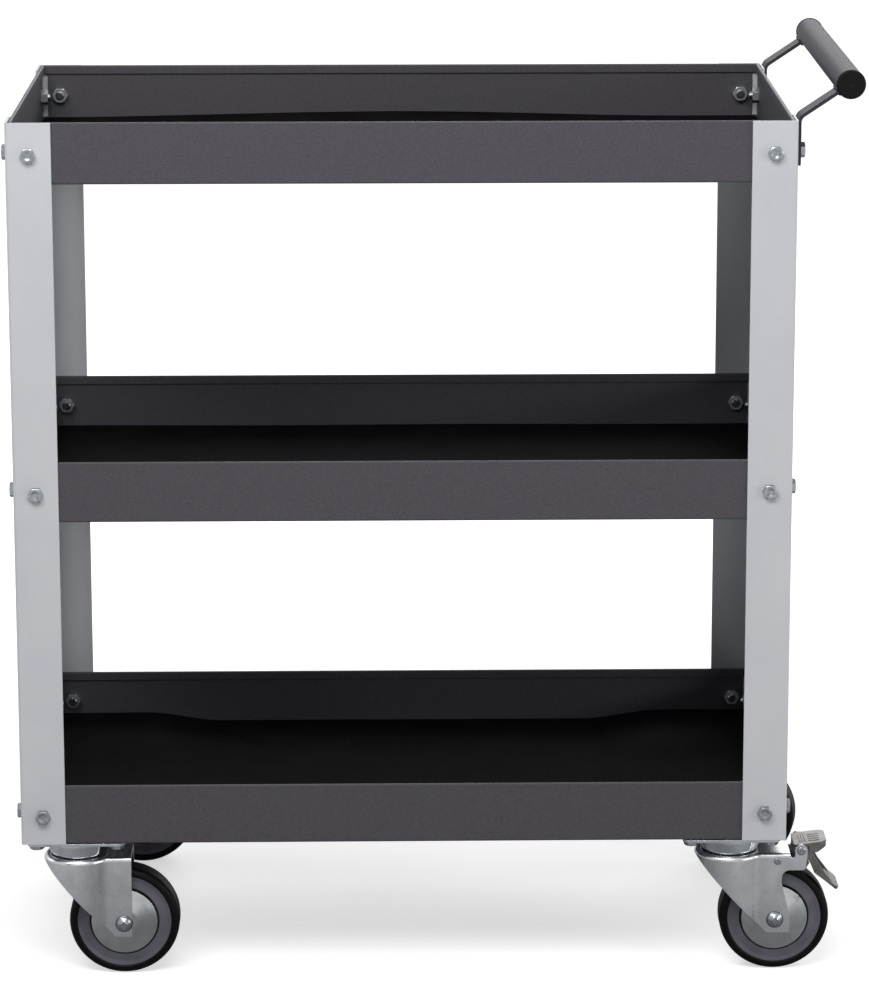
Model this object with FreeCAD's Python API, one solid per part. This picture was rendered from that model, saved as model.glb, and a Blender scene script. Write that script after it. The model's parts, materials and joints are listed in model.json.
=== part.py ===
"""Three-shelf tool cart on four swivel casters, in millimetres.

+X runs to the handle end, +Y to the rear and +Z up. The origin is on the floor,
under the middle of the whole cart's box, so the posts stand a little off centre in X.
"""
import FreeCAD, Part
import math
import os

from FreeCAD import Vector as V

os.makedirs("parts", exist_ok=True)

# ---------------------------------------------------------------- frame
body_length = 690.0         # over the posts, along X
body_depth = 370.0          # over the posts, along Y
post_length = 656.0
post_flange = 40.0
post_sheet = 2.0
post_bend = 3.0             # outer radius of the post's fold

# ---------------------------------------------------------------- trays
tray_sheet = 1.2
tray_wall = 54.5            # rim height above the tray's underside
tray_fit = 0.1              # paint gap between a tray and the posts
tray_bend = 2.0             # outer radius between floor and wall
tray_corner = 2.2           # upright corners, clear of the posts' fold
middle_rim_drop = 303.0     # top rim down to the middle rim
hem_height = 8.0
hem_gap = 0.8               # open space inside the folded rim
hem_round = 1.2             # rounds on the folded rim's two edges
slit_width = 5.0            # relief between neighbouring walls at a corner
slit_foot = 4.0             # slit starts this far above the tray's floor

# ---------------------------------------------------------------- mats
mat_thickness = 3.0
mat_gap = 1.5               # mat edge to tray wall
mat_ramp = 60.0             # length over which the bottom mat climbs over the nuts
mat_ramp_bend = 25.0
mat_nut_margin = 3.0

# ---------------------------------------------------------------- fasteners, M8
bolt_radius = 4.0
bolt_hole_gap = 0.3
bolt_length = 12.0
handle_bolt_length = 16.0
bolt_flats = 12.0
bolt_head = 4.5
bolt_dish = 0.7             # depth of the hollow in the head
nut_flats = 13.0
nut_height = 6.5
thread_gap = 0.05
bolt_edge = 20.0            # post edge to the bolt's axis
bolt_drop = 28.3            # rim down to the bolt's axis

# ---------------------------------------------------------------- handle
grip_radius = 12.5
grip_wall = 1.5
grip_inset = 7.0            # grip's ends inside the posts' outer faces
grip_out = 45.5             # post face out to the grip's axis
grip_up = 31.0              # post top up to the grip's axis
bracket_sheet = 3.0
bracket_width = 25.0
bracket_tail = 13.0         # bracket below its bolt
bracket_bend = 6.0          # inner radius of the bracket's fold
bracket_rise = 1.5          # fold's corner above the post's top
cap_flange = 2.5
cap_lip = 0.5               # cap's radius over the grip's
cap_plug = 14.0
cap_fit = 0.1
seat_gap = 0.05             # saddle of the bracket to the grip

# ---------------------------------------------------------------- casters
wheel_radius = 50.0
trail = 41.0                # swivel axis to wheel axis
head_clearance = 10.5       # tyre to the fork's head
race_drop = 14.5            # fork's head to the underside of the top plate
plate_length = 88.0
plate_depth = 64.0
plate_sheet = 2.5
plate_corner = 6.0
plate_inset_x = 5.0         # plate edge inside the posts' outer face
plate_inset_y = 1.0
plate_holes_x = 72.0
plate_holes_y = 44.0
caster_turn = {             # degrees from +X to each wheel's trail
    "front_left": 0.0,
    "front_right": 0.0,
    "rear_left": 8.0,
    "rear_right": -12.0,
}
braked_caster = "front_right"

race_radius = 28.5          # outside of the pressed race, at the plate
race_lip_radius = 26.0      # and at its lower edge
race_lip_gap = 1.0          # lower edge of the race to the fork's head
race_seat_radius = 23.5     # inside of the race
head_radius = 31.5          # fork's round head
leg_half_width = 20.5       # outside of a leg from the wheel's middle plane
fork_sheet = 2.5
fork_neck = 10.0            # concave radius between head and legs
fork_bend = 4.0             # outer radius of the fold round the head
leg_tip_radius = 14.0       # leg's sloping edges touch a circle of this radius round the axle
leg_foot = 12.5             # leg's lower edge below the axle
leg_foot_corner = 4.0
leg_front_angle = 222.0     # where the sloping front edge touches that circle
leg_rear_angle = 6.3
braked_rear_angle = 13.8
head_tail = 7.5             # head's rear end behind the wheel's axis
braked_head_tail = 13.5

kingpin_radius = 6.0
kingpin_fit = 0.02          # plate's bore round the kingpin
running_gap = 0.05
kingpin_head_radius = 10.0
kingpin_head = 3.0
lower_race_radius = 17.0
lower_race_sheet = 2.5
ball_gap = 0.05
upper_ball = 2.5            # ball radius
upper_ball_circle = 20.0
upper_ball_count = 18
lower_ball = 2.0
lower_ball_circle = 12.5
lower_ball_count = 12

tyre_half_width = 13.5
tyre_depth = 7.5
tyre_shoulder = 5.5
tyre_fit = 0.05
core_half_width = 12.6
core_ring = 11.0            # width of the ring between the tyre and the recess
core_web_half = 4.0
core_hollow = 1.0           # how far the ring's face dips next to the tyre
hub_radius = 13.0
hub_half_length = 15.8
guard_gap = 1.5             # guard's edge to the recess
guard_sheet = 1.2
guard_flat_radius = 12.0
guard_dish = 3.4            # how far the guard's rim sits inboard of its middle
sleeve_radius = 6.0
sleeve_wall = 1.9
axle_radius = 4.0
axle_head_radius = 7.8
axle_head = 4.6
axle_nut_height = 8.0

# ---------------------------------------------------------------- brake
pin_back = 23.3             # pedal's pin behind the wheel's axis
pin_rise = 2.5              # and above the top of the fork's head
pin_radius = 3.0
pin_hole_gap = 0.05
pin_head_radius = 4.2
pin_head = 1.8
ear_radius = 5.6
ear_drop = 16.0             # top of the head down to the ear's lower edge
ear_reach = 29.0            # rear edge of the ear behind the wheel's axis
throat_drop = 27.0          # top of the head down to the braked leg's narrow place
throat_step = 1.0
pedal_hub_radius = 5.2
pedal_half_width = 17.2
cheek_sheet = 2.2
cheek_half_width = 15.0     # outside of the lever's cheeks
pedal_sheet = 2.4
release_front = 17.0        # release pedal's ends behind the wheel's axis
release_rear = 47.0
release_rise = 2.2          # release pedal's front edge above the pin
release_tilt = 7.0          # degrees
tread_rib = 0.5             # ribs stand up from both pedals
skirt_front = 7.0           # release pedal's turned-down sides, behind the pin
skirt_foot = 2.5            # and below it
lock_front = (50.8, 6.2)    # lock pedal's ends: degrees above level, gap to the tyre
lock_rear = (25.3, 13.1)
lock_half_width = 18.0
rivet_back = 2.0
rivet_gap = 6.0             # shoe's rivet above the tyre
rivet_radius = 2.5
shoe_eye_radius = 3.9
shoe_half_width = 11.0
shoe_gap = 2.2              # shoe to tyre when the brake is off
shoe_sheet = 2.0
shoe_tip_angle = 58.0
shoe_tip_height = 6.0

# ---------------------------------------------------------------- worked-out places
fork_top = wheel_radius + head_clearance + fork_sheet
head_top = wheel_radius + fork_top
plate_under = head_top + race_drop
deck_height = plate_under + plate_sheet
half_length = body_length / 2
half_depth = body_depth / 2
post_top = deck_height + post_length
tray_rims = {
    "top": post_top,
    "middle": post_top - middle_rim_drop,
    "bottom": deck_height + tray_wall,
}
tray_half_length = half_length - post_sheet - tray_fit
tray_half_depth = half_depth - post_sheet - tray_fit
well_half_length = tray_half_length - tray_sheet
well_half_depth = tray_half_depth - tray_sheet
grip_x = half_length + grip_out
grip_length = body_depth - 2 * grip_inset
grip_z = post_top + grip_up
bolt_hole_radius = bolt_radius + bolt_hole_gap
left_reach = half_length + bolt_head
right_reach = grip_x + grip_radius + cap_lip
body_shift = (left_reach - right_reach) / 2

caster_x = half_length - plate_inset_x - plate_length / 2
caster_y = half_depth - plate_inset_y - plate_depth / 2
race_ceiling = head_top + 2 * (upper_ball + ball_gap)
race_lip = head_top + race_lip_gap
lower_race_top = head_top - fork_sheet - 2 * (lower_ball + ball_gap)
leg_inner = leg_half_width - fork_sheet
tyre_seat = wheel_radius - tyre_depth
core_recess_radius = tyre_seat - core_ring
guard_radius = core_recess_radius - guard_gap
pin_up = fork_top + pin_rise
rivet_up = wheel_radius + rivet_gap
ear_foot = fork_top - ear_drop
throat_up = fork_top - throat_drop
release_up = pin_up + release_rise
hole_spots = [(i * plate_holes_x / 2, j * plate_holes_y / 2) for i in (-1, 1) for j in (-1, 1)]
corner_signs = {
    "front_left": (-1, -1),
    "front_right": (1, -1),
    "rear_left": (-1, 1),
    "rear_right": (1, 1),
}


# ---------------------------------------------------------------- making shapes
def block(low, high):
    """Box between two corners."""
    size = [b - a for a, b in zip(low, high)]
    return Part.makeBox(*size, V(*low))


def rod(radius, start, end):
    """Cylinder from one point to another."""
    start, end = V(*start), V(*end)
    way = end - start
    return Part.makeCylinder(radius, way.Length, start, way)


def fuse(shapes):
    return shapes[0].multiFuse(shapes[1:]).removeSplitter()


def rounded_wire(corners, point):
    """Closed outline of (u, v, radius) corners; point(u, v) puts it in space."""
    spans = []
    for i, (u, v, radius) in enumerate(corners):
        here = V(u, v, 0)
        back = V(corners[i - 1][0], corners[i - 1][1], 0) - here
        ahead = V(*corners[(i + 1) % len(corners)][:2], 0) - here
        if radius == 0:
            spans.append((here, None, here))
            continue
        half = back.getAngle(ahead) / 2
        middle = (back.normalize() + ahead.normalize()).normalize()
        cut = radius / math.tan(half)
        top = here + middle * (radius / math.sin(half) - radius)
        spans.append((here + back * cut, top, here + ahead * cut))
    edges = []
    for i, (start, top, end) in enumerate(spans):
        if top is not None:
            edges.append(Part.Arc(*(point(p.x, p.y) for p in (start, top, end))).toShape())
        following = spans[(i + 1) % len(spans)][0]
        if (following - end).Length > 1e-6:
            edges.append(Part.LineSegment(point(end.x, end.y), point(following.x, following.y)).toShape())
    return Part.Wire(edges)


def slab_y(corners, y_low, y_high):
    """Outline of (x, z, radius) corners, thick along Y."""
    wire = rounded_wire(corners, lambda u, v: V(u, y_low, v))
    return Part.Face(wire).extrude(V(0, y_high - y_low, 0))


def slab_z(corners, z_low, z_high):
    """Outline of (x, y, radius) corners, thick along Z."""
    wire = rounded_wire(corners, lambda u, v: V(u, v, z_low))
    return Part.Face(wire).extrude(V(0, 0, z_high - z_low))


def turned_z(corners):
    """Ring or disc turned about Z from (radius, z, corner radius) points."""
    wire = rounded_wire(corners, lambda u, v: V(u, 0, v))
    return Part.Face(wire).revolve(V(0, 0, 0), V(0, 0, 1), 360)


def turned_y(corners):
    """Ring or disc turned about Y from (radius, y, corner radius) points."""
    wire = rounded_wire(corners, lambda u, v: V(u, v, 0))
    return Part.Face(wire).revolve(V(0, 0, 0), V(0, 1, 0), 360)


def round_edges(shape, radius, choose):
    """Fillet the edges that choose(edge) picks."""
    return shape.makeFillet(radius, [edge for edge in shape.Edges if choose(edge)])


def level_edge(z):
    """Picks the edges that lie at one height."""
    return lambda edge: abs(edge.BoundBox.ZMin - z) < 1e-4 and abs(edge.BoundBox.ZMax - z) < 1e-4


def aimed(shape, place, direction):
    """Copy of a shape made along +Z, turned to a direction and moved to its place."""
    turn = FreeCAD.Rotation(V(0, 0, 1), V(*direction))
    copy = shape.copy()
    copy.Placement = FreeCAD.Placement(V(*place), turn)
    return copy


def export(node, shapes):
    """Write one node; a list of shapes stays separate solids."""
    shape = Part.Compound(shapes) if isinstance(shapes, list) else shapes.copy()
    shape.translate(V(body_shift, 0, 0))
    shape.exportStep(f"parts/{node}.step")


# ---------------------------------------------------------------- fasteners
def hexagon(across_flats, z_low, z_high):
    corner = across_flats / math.sqrt(3)
    turns = [math.radians(60 * k) for k in range(6)]
    spots = [(corner * math.cos(turn), corner * math.sin(turn), 0) for turn in turns]
    prism = slab_z(spots, z_low, z_high)
    return prism, corner


def hex_bolt(length):
    """Bolt whose head stands on z = 0 and whose shank runs down."""
    head, corner = hexagon(bolt_flats, 0, bolt_head)
    chamfer = turned_z([(0, 0, 0), (corner + 1, 0, 0), (corner + 1, bolt_head - 1.2, 0),
                        (corner - 1.2, bolt_head, 0), (0, bolt_head, 0)])
    dish = turned_z([(0, bolt_head - bolt_dish, 0), (2.2, bolt_head - bolt_dish, 0), (4.0, bolt_head, 0),
                     (0, bolt_head, 0)])
    shank = turned_z([(0, -length, 0), (bolt_radius - 0.8, -length, 0), (bolt_radius, 0.8 - length, 0),
                      (bolt_radius, 0, 0), (0, 0, 0)])
    return fuse([head.common(chamfer).cut(dish), shank])


def hex_nut(height=nut_height):
    """Nut that stands on z = 0 and runs down."""
    body, corner = hexagon(nut_flats, -height, 0)
    chamfer = turned_z([(0, 0, 0), (corner - 0.8, 0, 0), (corner + 0.2, -0.7, 0),
                        (corner + 0.2, 0.7 - height, 0), (corner - 0.8, -height, 0), (0, -height, 0)])
    bore = rod(bolt_radius + thread_gap, (0, 0, 1), (0, 0, -height - 1))
    return body.common(chamfer).cut(bore)


def frame_bolt_spots():
    """Face point and outward direction of each bolt that holds a tray in the posts."""
    for level, rim in tray_rims.items():
        for sx, sy in corner_signs.values():
            z = rim - bolt_drop
            yield level, (sx * (half_length - bolt_edge), sy * half_depth, z), (0, sy, 0)
            yield level, (sx * half_length, sy * (half_depth - bolt_edge), z), (sx, 0, 0)


def on_handle(level, direction):
    return level == "top" and direction[0] > 0


def along(place, direction, distance):
    return tuple(p + d * distance for p, d in zip(place, direction))


def drilled(shape, only_levels=tuple(tray_rims)):
    """Cut the frame's bolt holes through a shape."""
    drills = []
    for level, place, direction in frame_bolt_spots():
        if level in only_levels:
            start = along(place, direction, bracket_sheet + 1)
            end = along(place, direction, -post_sheet - tray_sheet - 1)
            drills.append(rod(bolt_hole_radius, start, end))
    return shape.cut(drills)


def make_frame_fasteners():
    short, long, nut = hex_bolt(bolt_length), hex_bolt(handle_bolt_length), hex_nut()
    wall = post_sheet + tray_fit + tray_sheet
    bolts, handle_bolts, nuts = [], [], []
    for level, place, direction in frame_bolt_spots():
        if on_handle(level, direction):
            handle_bolts.append(aimed(long, along(place, direction, bracket_sheet), direction))
        else:
            bolts.append(aimed(short, place, direction))
        nuts.append(aimed(nut, along(place, direction, -wall), direction))
    for sx, sy in corner_signs.values():
        for hx, hy in hole_spots:
            x, y = sx * caster_x + hx, sy * caster_y + hy
            bolts.append(aimed(short, (x, y, plate_under), (0, 0, -1)))
            nuts.append(aimed(nut, (x, y, deck_height + tray_sheet), (0, 0, -1)))
    export("frame_and_caster_bolts", bolts)
    export("handle_bolts", handle_bolts)
    export("hex_nuts", nuts)


# ---------------------------------------------------------------- frame
def make_post(sx, sy):
    """Angle post folded from sheet, round the outside of the trays."""
    def bar(inset, length, radius, z_low, z_high):
        low_x, high_x = sorted((sx * (half_length - inset), sx * (half_length - length)))
        low_y, high_y = sorted((sy * (half_depth - inset), sy * (half_depth - length)))
        shape = block((low_x, low_y, z_low), (high_x, high_y, z_high))
        corner_x, corner_y = sx * (half_length - inset), sy * (half_depth - inset)
        return round_edges(shape, radius, lambda e: abs(e.BoundBox.XMin - corner_x) < 1e-4
                           and abs(e.BoundBox.XMax - corner_x) < 1e-4
                           and abs(e.BoundBox.YMin - corner_y) < 1e-4
                           and abs(e.BoundBox.YMax - corner_y) < 1e-4)
    outside = bar(0, post_flange, post_bend, deck_height, post_top)
    inside = bar(post_sheet, post_flange + 1, post_bend - post_sheet, deck_height - 1, post_top + 1)
    return drilled(outside.cut(inside))


def make_tray(level):
    """Folded tray: floor, four walls, a hem turned inwards round the rim, slits at the corners."""
    rim = tray_rims[level]
    under = rim - tray_wall
    floor = under + tray_sheet
    hem = 2 * tray_sheet + hem_gap
    hem_foot = rim - hem_height

    def shell(inset, z_low, z_high, corner=0):
        half_x, half_y = tray_half_length - inset, tray_half_depth - inset
        return slab_z([(-half_x, -half_y, corner), (half_x, -half_y, corner), (half_x, half_y, corner),
                       (-half_x, half_y, corner)], z_low, z_high)

    outside = round_edges(shell(0, under, rim, tray_corner), tray_bend, level_edge(under))
    outside = round_edges(outside, hem_round, level_edge(rim))
    well = round_edges(shell(tray_sheet, floor, hem_foot), tray_bend - tray_sheet, level_edge(floor))
    mouth = shell(hem, hem_foot - 1, rim + 1)
    groove = shell(tray_sheet, hem_foot - 1, rim - hem / 2)
    groove = groove.cut(shell(tray_sheet + hem_gap, hem_foot - 2, rim))
    tray = outside.cut([well, mouth, groove])
    tray = round_edges(tray, hem_round, lambda e: level_edge(rim)(e)
                       and (abs(abs(e.CenterOfMass.x) - (tray_half_length - hem)) < 1e-3
                            or abs(abs(e.CenterOfMass.y) - (tray_half_depth - hem)) < 1e-3))
    slits = []
    for sx, sy in corner_signs.values():
        near, far = sorted((sx * well_half_length, sx * (well_half_length - slit_width)))
        low, high = sorted((sy * well_half_depth, sy * (tray_half_depth + 1)))
        slits.append(block((near, low, floor + slit_foot), (far, high, hem_foot)))
    tray = drilled(tray.cut(slits), (level,))
    if level == "bottom":
        tray = tray.cut([rod(bolt_hole_radius, (sx * caster_x + hx, sy * caster_y + hy, under - 1),
                             (sx * caster_x + hx, sy * caster_y + hy, floor + 1))
                         for sx, sy in corner_signs.values() for hx, hy in hole_spots])
    return tray


def make_mat(level):
    """Rubber mat on a tray's floor; the bottom one rises over the caster nuts at both ends."""
    floor = tray_rims[level] - tray_wall + tray_sheet
    half_x, half_y = well_half_length - mat_gap, well_half_depth - mat_gap
    if level != "bottom":
        return block((-half_x, -half_y, floor), (half_x, half_y, floor + mat_thickness))
    lift = plate_under + bolt_length - floor + 0.3
    shelf = caster_x - plate_holes_x / 2 - nut_flats / math.sqrt(3) - mat_nut_margin
    foot = shelf - mat_ramp
    route = [(-half_x, lift, 0), (-shelf, lift, mat_ramp_bend), (-foot, 0, mat_ramp_bend),
             (foot, 0, mat_ramp_bend), (shelf, lift, mat_ramp_bend), (half_x, lift, 0)]
    under = [(x, floor + z, r) for x, z, r in route]
    over = [(x, floor + z + mat_thickness, r) for x, z, r in reversed(route)]
    return slab_y(under + over, -half_y, half_y)


# ---------------------------------------------------------------- handle
def make_grip():
    """Push handle's tube, along Y."""
    ends = (grip_x, -grip_length / 2, grip_z), (grip_x, grip_length / 2, grip_z)
    return rod(grip_radius, *ends).cut(rod(grip_radius - grip_wall, *ends))


def make_bracket(sy):
    """Flat bar from the post's side, folded out and up to a saddle under the grip."""
    inner, outer = half_length, half_length + bracket_sheet
    knee = post_top + bracket_rise
    slope = math.atan2(grip_z - knee, grip_x - (inner + outer) / 2)
    side = V(-math.sin(slope), math.cos(slope), 0) * (bracket_sheet / 2)
    end = V(grip_x, grip_z, 0)
    tangent = math.tan((math.pi / 2 - slope) / 2) * bracket_sheet / 2
    corners = [
        (inner, tray_rims["top"] - bolt_drop - bracket_tail, 0),
        (outer, tray_rims["top"] - bolt_drop - bracket_tail, 0),
        (outer, knee - tangent, bracket_bend),
        (end.x - side.x, end.y - side.y, 0),
        (end.x + side.x, end.y + side.y, 0),
        (inner, knee + tangent, bracket_bend + bracket_sheet),
    ]
    middle = sy * (half_depth - bolt_edge)
    bar = slab_y(corners, middle - bracket_width / 2, middle + bracket_width / 2)
    bar = round_edges(bar, 5.0, lambda e: abs(e.BoundBox.ZMax - corners[0][1]) < 1e-4
                      and e.BoundBox.YLength < 1e-4 and e.BoundBox.XLength > 1)
    saddle = rod(grip_radius + seat_gap, (grip_x, -half_depth, grip_z), (grip_x, half_depth, grip_z))
    return drilled(bar.cut(saddle), ("top",))


def make_end_cap(sy):
    """Plastic cap: a rounded flange over the tube's end and a hollow plug inside it."""
    bore = grip_radius - grip_wall - cap_fit
    flange = grip_radius + cap_lip
    cap = turned_z([(0, 0, 0), (bore - 2, 0, 0), (bore - 2, -cap_plug, 0), (bore - 0.4, -cap_plug, 0),
                    (bore, -1, 0), (bore, 0, 0), (flange, 0, 0), (flange, cap_flange, 1.8),
                    (0, cap_flange + 0.6, 0)])
    return aimed(cap, (grip_x, sy * grip_length / 2, grip_z), (0, sy, 0))


# ---------------------------------------------------------------- caster, swivel axis at x = y = 0
def make_plate():
    """Top plate with the race pressed down from it."""
    half_x, half_y = plate_length / 2, plate_depth / 2
    plate = slab_z([(-half_x, -half_y, plate_corner), (half_x, -half_y, plate_corner),
                    (half_x, half_y, plate_corner), (-half_x, half_y, plate_corner)],
                   plate_under, deck_height)
    bore = kingpin_radius + kingpin_fit
    race = turned_z([(bore, race_ceiling, 0), (race_seat_radius, race_ceiling, 1.5),
                     (race_seat_radius, race_lip, 0), (race_lip_radius, race_lip, 1.2),
                     (race_radius, plate_under - 3, 6.0), (race_radius, plate_under, 0),
                     (race_radius, deck_height, 0), (race_seat_radius, deck_height, 0),
                     (race_seat_radius - 2, race_ceiling + plate_sheet, 0),
                     (bore, race_ceiling + plate_sheet, 0)])
    mouth = rod(race_seat_radius, (0, 0, plate_under - 1), (0, 0, deck_height + 1))
    holes = [rod(bolt_hole_radius, (x, y, plate_under - 1), (x, y, deck_height + 1)) for x, y in hole_spots]
    return fuse([plate.cut([mouth] + holes), race])


def make_kingpin():
    """Rivet through the plate and the fork's head, with the lower race under the head."""
    top = race_ceiling + plate_sheet + kingpin_head
    low = lower_race_top - lower_race_sheet
    return turned_z([(0, low - 2.5, 0), (8.0, low - 2.5, 1.5), (8.0, low, 0), (lower_race_radius, low, 0.8),
                     (lower_race_radius, lower_race_top, 0.8), (kingpin_radius, lower_race_top, 0),
                     (kingpin_radius, race_ceiling + plate_sheet, 0),
                     (kingpin_head_radius, race_ceiling + plate_sheet, 0), (kingpin_head_radius, top, 1.5),
                     (0, top, 0)])


def make_balls():
    """Both rows of balls, above and below the fork's head."""
    rows = [
        (upper_ball, upper_ball_circle, upper_ball_count, head_top + upper_ball + ball_gap),
        (lower_ball, lower_ball_circle, lower_ball_count, lower_race_top + lower_ball + ball_gap),
    ]
    balls = []
    for radius, circle, count, z in rows:
        for k in range(count):
            turn = 2 * math.pi * k / count
            balls.append(Part.makeSphere(radius, V(circle * math.cos(turn), circle * math.sin(turn), z)))
    return balls


def keyhole(inset, end, z_low, z_high):
    """Round head and straight tail seen from above, thick along Z."""
    radius, half, neck = head_radius - inset, leg_half_width - inset, fork_neck + inset
    centre_x = math.sqrt((radius + neck) ** 2 - (half + neck) ** 2)
    share = radius / (radius + neck)
    touch = V(centre_x * share, (half + neck) * share, z_low)
    fillet = V(centre_x, half + neck, z_low)
    middle = fillet + ((touch - fillet).normalize() + V(0, -1, 0)).normalize() * neck
    flip = lambda p: V(p.x, -p.y, p.z)
    line = V(centre_x, half, z_low)
    corner = V(end, half, z_low)
    edges = [
        Part.Arc(touch, V(-radius, 0, z_low), flip(touch)).toShape(),
        Part.Arc(flip(touch), flip(middle), flip(line)).toShape(),
        Part.LineSegment(flip(line), flip(corner)).toShape(),
        Part.LineSegment(flip(corner), corner).toShape(),
        Part.LineSegment(corner, line).toShape(),
        Part.Arc(line, middle, touch).toShape(),
    ]
    return Part.Face(Part.Wire(edges)).extrude(V(0, 0, z_high - z_low))


def leg_side(braked):
    """Side outline of the fork about the wheel's axis, as (x, z, radius) corners."""
    front = math.radians(leg_front_angle)
    rear = math.radians(braked_rear_angle if braked else leg_rear_angle)
    tip = leg_tip_radius

    def on_tangent(angle, way, distance):
        return (tip * math.cos(angle) + way * math.sin(angle) * distance,
                tip * math.sin(angle) - way * math.cos(angle) * distance)

    top = fork_top + 10
    front_top = on_tangent(front, 1, (top - tip * math.sin(front)) / -math.cos(front))
    front_foot = on_tangent(front, -1, (leg_foot + tip * math.sin(front)) / -math.cos(front))
    rear_foot = on_tangent(rear, 1, (leg_foot + tip * math.sin(rear)) / math.cos(rear))
    outline = [(*front_foot, leg_foot_corner), (*rear_foot, leg_foot_corner)]
    height = throat_up if braked else top
    rear_top = on_tangent(rear, -1, (height - tip * math.sin(rear)) / math.cos(rear))
    if braked:
        outline += [(*rear_top, 12), (rear_top[0] + throat_step, ear_foot, 7), (ear_reach - 2, ear_foot, 3),
                    (ear_reach, top, 0)]
    else:
        outline += [(*rear_top, 0)]
    outline += [(*front_top, 0)]
    return [(x + trail, z + wheel_radius, r) for x, z, r in outline]


def make_fork(braked):
    """Pressed fork: round head folded down into two legs."""
    end = trail + (braked_head_tail if braked else head_tail)
    low = wheel_radius - leg_tip_radius - 5
    outside = keyhole(0, end, low, head_top)
    outside = round_edges(outside, fork_bend, lambda e: level_edge(head_top)(e)
                          and e.CenterOfMass.x < end - 1)
    inside = keyhole(fork_sheet, end + 5, low - 1, head_top - fork_sheet)
    inside = round_edges(inside, fork_bend - fork_sheet, lambda e: level_edge(head_top - fork_sheet)(e)
                         and e.CenterOfMass.x < end)
    fork = outside.cut(inside).common(slab_y(leg_side(braked), -head_radius - 1, head_radius + 1))
    pin = (trail + pin_back, wheel_radius + pin_up)
    rivet = (trail + rivet_back, wheel_radius + rivet_up)
    def across(x, z):
        """Ends of a hole along Y through both legs."""
        return (x, -head_radius, z), (x, head_radius, z)

    cuts = [rod(kingpin_radius + running_gap, (0, 0, low), (0, 0, head_top + 1)),
            rod(axle_radius + bolt_hole_gap, *across(trail, wheel_radius))]
    if braked:
        ear_x, ear_z = pin
        foot = wheel_radius + ear_foot
        shoulder = head_top - fork_bend
        ear = [(end - 3, foot, 0), (trail + ear_reach - 2, foot, 3), (ear_x + ear_radius, shoulder, 0),
               (ear_x + ear_radius, ear_z + ear_radius, ear_radius * 0.97),
               (ear_x - ear_radius, ear_z + ear_radius, ear_radius * 0.97),
               (ear_x - ear_radius, shoulder, 1), (end - 3, shoulder, 0)]
        ears = [slab_y(ear, leg_inner, leg_half_width), slab_y(ear, -leg_half_width, -leg_inner)]
        fork = fuse([fork] + ears)
        cuts += [rod(pin_radius + pin_hole_gap, *across(*pin)),
                 rod(rivet_radius + pin_hole_gap, *across(*rivet))]
    return fork.cut(cuts)


def at_axle(shape):
    """Move a wheel part from the origin to the wheel's axis."""
    return shape.translated(V(trail, 0, wheel_radius))


def make_axle():
    """Axle bolt along Y: domed head with a cross recess at the front, plain end at the back."""
    nut_seat = leg_half_width
    head = turned_y([(0, -leg_half_width - axle_head, 0), (2.5, -leg_half_width - axle_head, 0),
                     (axle_head_radius, -leg_half_width - 1.2, 5.5), (axle_head_radius, -leg_half_width, 0),
                     (0, -leg_half_width, 0)])
    shank = rod(axle_radius, (0, -leg_half_width - 0.5, 0), (0, nut_seat + axle_nut_height + 2, 0))
    front = -leg_half_width - axle_head
    arms = [block((-across, front - 1, -up), (across, front + 1.6, up))
            for across, up in ((3.2, 0.7), (0.7, 3.2))]
    return at_axle(fuse([head, shank]).cut(arms))


def make_axle_nut():
    return at_axle(aimed(hex_nut(axle_nut_height), (0, leg_half_width, 0), (0, -1, 0)))


def make_sleeve():
    """Tube clamped between the guards, on which the wheel turns."""
    half = leg_inner - guard_sheet
    ends = (0, -half, 0), (0, half, 0)
    return at_axle(rod(sleeve_radius, *ends).cut(rod(sleeve_radius - sleeve_wall, *ends)))


def make_guards():
    """Thread guards: shallow dishes between each leg and the wheel's core."""
    guards = []
    for side in (-1, 1):
        out, inn = leg_inner, leg_inner - guard_sheet
        ring = [(axle_radius + bolt_hole_gap, out, 0), (guard_flat_radius, out, 8),
                (guard_radius - 5, out - guard_dish + 0.6, 8), (guard_radius, out - guard_dish - 0.8, 0),
                (guard_radius - 0.3, inn - guard_dish - 1.4, 0),
                (guard_radius - 5, inn - guard_dish + 0.6, 8), (guard_flat_radius, inn, 8),
                (axle_radius + bolt_hole_gap, inn, 0)]
        guards.append(at_axle(turned_y([(r, side * y, c) for r, y, c in ring])))
    return guards


def make_tyre():
    w, seat = tyre_half_width, tyre_seat + tyre_fit
    half = [(seat, core_half_width, 0), (seat + 1.5, w, 1), (wheel_radius, w, tyre_shoulder)]
    return at_axle(turned_y([(r, -y, c) for r, y, c in half] + half[::-1]))


def make_core():
    """Plastic core: rim ring, thin web and hub with the plain bearing bore."""
    bore = sleeve_radius + running_gap
    ring = core_recess_radius
    half = [(hub_radius, hub_half_length, 1), (hub_radius, core_web_half, 2), (ring, core_web_half, 2),
            (ring, core_half_width, 1), (tyre_seat - core_ring / 3, core_half_width - core_hollow, 4),
            (tyre_seat, core_half_width, 0)]
    corners = [(bore, hub_half_length, 0)] + half + [(r, -y, c) for r, y, c in reversed(half)]
    return at_axle(turned_y(corners + [(bore, -hub_half_length, 0)]))


# ---------------------------------------------------------------- brake, on the same axes
def over_tyre(degrees, gap):
    """Point in the wheel's middle plane, outside the tyre by a gap."""
    angle = math.radians(degrees)
    radius = wheel_radius + gap
    return V(trail + radius * math.cos(angle), 0, wheel_radius + radius * math.sin(angle))


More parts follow.
